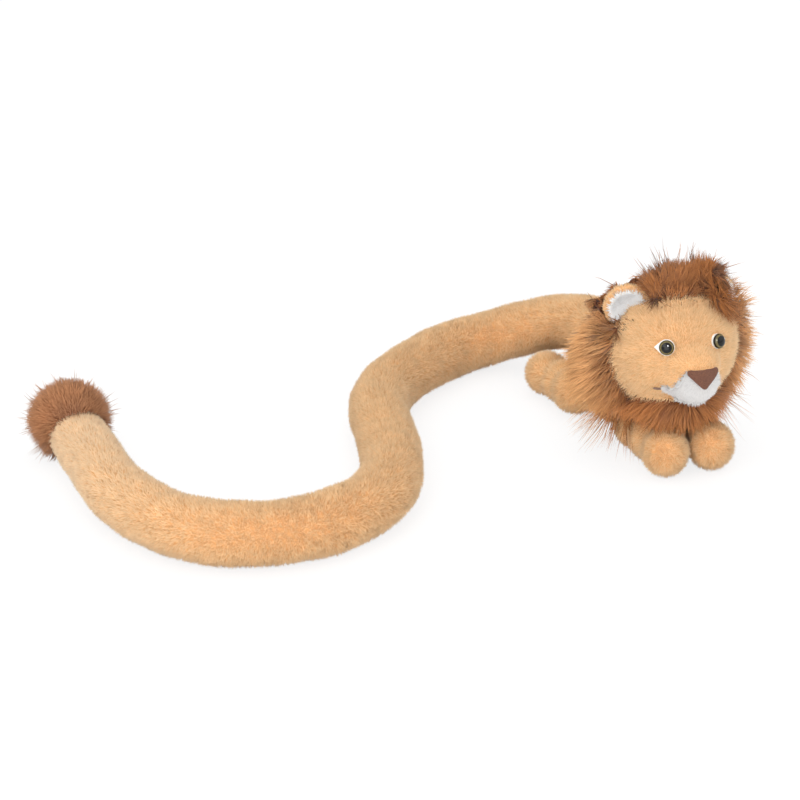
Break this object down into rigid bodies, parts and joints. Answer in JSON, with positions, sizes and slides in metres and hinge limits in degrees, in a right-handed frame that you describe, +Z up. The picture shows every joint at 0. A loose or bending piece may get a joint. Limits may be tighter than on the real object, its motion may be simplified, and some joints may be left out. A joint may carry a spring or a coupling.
{
  "type": "plush lion",
  "caption": "Plush lion lying on its belly, with a long-haired mane and a very long stuffed tail that ends in a tuft",
  "frame": {"origin": "on the floor under the middle of the torso, at the flat that the belly rests on", "axes": "+Z up, -Y ahead (where the lion looks), +X to the lion's left"},
  "size_m": [0.5768, 0.3281, 0.18],
  "materials": {
    "tan_plush": "short soft pile",
    "white_plush": "short soft pile",
    "mane_pile": "long brushed pile, lighter at the tips",
    "nose_velour": "velour",
    "white_felt": "felt",
    "thread": "embroidery thread",
    "stuffing": "polyester fibre",
    "eye_plastic": "polished, with a dark brown ring round the pupil",
    "washer_plastic": "moulded"
  },
  "bodies": {
    "torso": {"torso_skin": "tan_plush", "torso_stuffing": "stuffing"},
    "neck": {"neck": "stuffing"},
    "head": {"head_skin": "tan_plush", "head_stuffing": "stuffing", "muzzle": "white_plush", "chin": "white_plush", "nose": "nose_velour", "mouth_stitch_right": "thread", "mouth_stitch_left": "thread", "eye_right": "eye_plastic", "eye_left": "eye_plastic", "eye_felt_right": "white_felt", "eye_felt_left": "white_felt", "eye_washer_right": "washer_plastic", "eye_washer_left": "washer_plastic", "mane_crest": "mane_pile", "mane_nape": "mane_pile", "mane_side_right": "mane_pile", "mane_side_left": "mane_pile", "mane_bib": "mane_pile"},
    "ear_right": {"ear_back_right": "tan_plush", "ear_lining_right": "white_plush"},
    "ear_left": {"ear_back_left": "tan_plush", "ear_lining_left": "white_plush"},
    "front_leg_right": {"front_leg_right": "tan_plush"},
    "front_leg_left": {"front_leg_left": "tan_plush"},
    "hind_leg_right": {"hind_leg_right": "tan_plush"},
    "hind_leg_left": {"hind_leg_left": "tan_plush"},
    "tail_root": {"tail_root": "tan_plush"},
    "tail_1": {"tail_section_1": "tan_plush"},
    "tail_2": {"tail_section_2": "tan_plush"},
    "tail_3": {"tail_section_3": "tan_plush"},
    "tail_4": {"tail_section_4": "tan_plush"},
    "tail_5": {"tail_section_5": "tan_plush"},
    "tail_6": {"tail_section_6": "tan_plush"},
    "tail_7": {"tail_section_7": "tan_plush"},
    "tail_8": {"tail_section_8": "tan_plush"},
    "tail_9": {"tail_section_9": "tan_plush", "tail_tuft": "mane_pile"}
  },
  "joints": [
    {"name": "neck_turn", "type": "hinge", "parent": "torso", "child": "neck", "pos_m": [0, -0.05, 0.08], "axis": [0, 0, 1], "range_deg": [-15, 15]},
    {"name": "neck_nod", "type": "hinge", "parent": "neck", "child": "head", "pos_m": [0, -0.05, 0.08], "axis": [1, 0, 0], "range_deg": [-14, 2]},
    {"name": "ear_fold_right", "type": "hinge", "parent": "head", "child": "ear_right", "pos_m": [-0.03364, -0.07852, 0.12219], "axis": [0.7622, -0.3718, 0.5299], "range_deg": [-15, 15], "stiffness_Nm_per_rad": 0.002},
    {"name": "ear_fold_left", "type": "hinge", "parent": "head", "child": "ear_left", "pos_m": [0.02263, -0.08643, 0.12219], "axis": [0.8352, 0.1473, -0.5299], "range_deg": [-15, 15], "stiffness_Nm_per_rad": 0.002},
    {"name": "front_leg_swing_right", "type": "hinge", "parent": "torso", "child": "front_leg_right", "pos_m": [-0.02074, -0.06133, 0.02272], "axis": [0, 0, -1], "range_deg": [0, 25]},
    {"name": "hind_leg_swing_right", "type": "hinge", "parent": "torso", "child": "hind_leg_right", "pos_m": [-0.034, 0.024, 0.0215], "axis": [0, 0, 1], "range_deg": [0, 25]},
    {"name": "front_leg_swing_left", "type": "hinge", "parent": "torso", "child": "front_leg_left", "pos_m": [0.02274, -0.06667, 0.02272], "axis": [0, 0, 1], "range_deg": [0, 25]},
    {"name": "hind_leg_swing_left", "type": "hinge", "parent": "torso", "child": "hind_leg_left", "pos_m": [0.034, 0.024, 0.0215], "axis": [0, 0, -1], "range_deg": [0, 25]},
    {"name": "tail_roll", "type": "hinge", "parent": "torso", "child": "tail_root", "pos_m": [0.012, 0.06, 0.058], "axis": [0, 1, 0], "range_deg": [0, 20]},
    {"name": "tail_bend_1", "type": "hinge", "parent": "tail_root", "child": "tail_1", "pos_m": [-0.02128, 0.12824, 0.04073], "axis": [0, 0, 1], "range_deg": [-18, 6]},
    {"name": "tail_bend_2", "type": "hinge", "parent": "tail_1", "child": "tail_2", "pos_m": [-0.1019, 0.14318, 0.0245], "axis": [0, 0, 1], "range_deg": [-18, 6]},
    {"name": "tail_bend_3", "type": "hinge", "parent": "tail_2", "child": "tail_3", "pos_m": [-0.17641, 0.10103, 0.0245], "axis": [0, 0, 1], "range_deg": [-22, 10]},
    {"name": "tail_bend_4", "type": "hinge", "parent": "tail_3", "child": "tail_4", "pos_m": [-0.22182, 0.02975, 0.0245], "axis": [0, 0, 1], "range_deg": [-22, 15]},
    {"name": "tail_bend_5", "type": "hinge", "parent": "tail_4", "child": "tail_5", "pos_m": [-0.24908, -0.05172, 0.0245], "axis": [0, 0, 1], "range_deg": [-15, 15]},
    {"name": "tail_bend_6", "type": "hinge", "parent": "tail_5", "child": "tail_6", "pos_m": [-0.30886, -0.11046, 0.0245], "axis": [0, 0, 1], "range_deg": [-8, 15]},
    {"name": "tail_bend_7", "type": "hinge", "parent": "tail_6", "child": "tail_7", "pos_m": [-0.39293, -0.11193, 0.0245], "axis": [0, 0, 1], "range_deg": [-8, 15]},
    {"name": "tail_bend_8", "type": "hinge", "parent": "tail_7", "child": "tail_8", "pos_m": [-0.45358, -0.05438, 0.02443], "axis": [0, 0, 1], "range_deg": [-8, 15]},
    {"name": "tail_bend_9", "type": "hinge", "parent": "tail_8", "child": "tail_9", "pos_m": [-0.46913, 0.02951, 0.02372], "axis": [0, 0, 1], "range_deg": [-12, 15]}
  ]
}
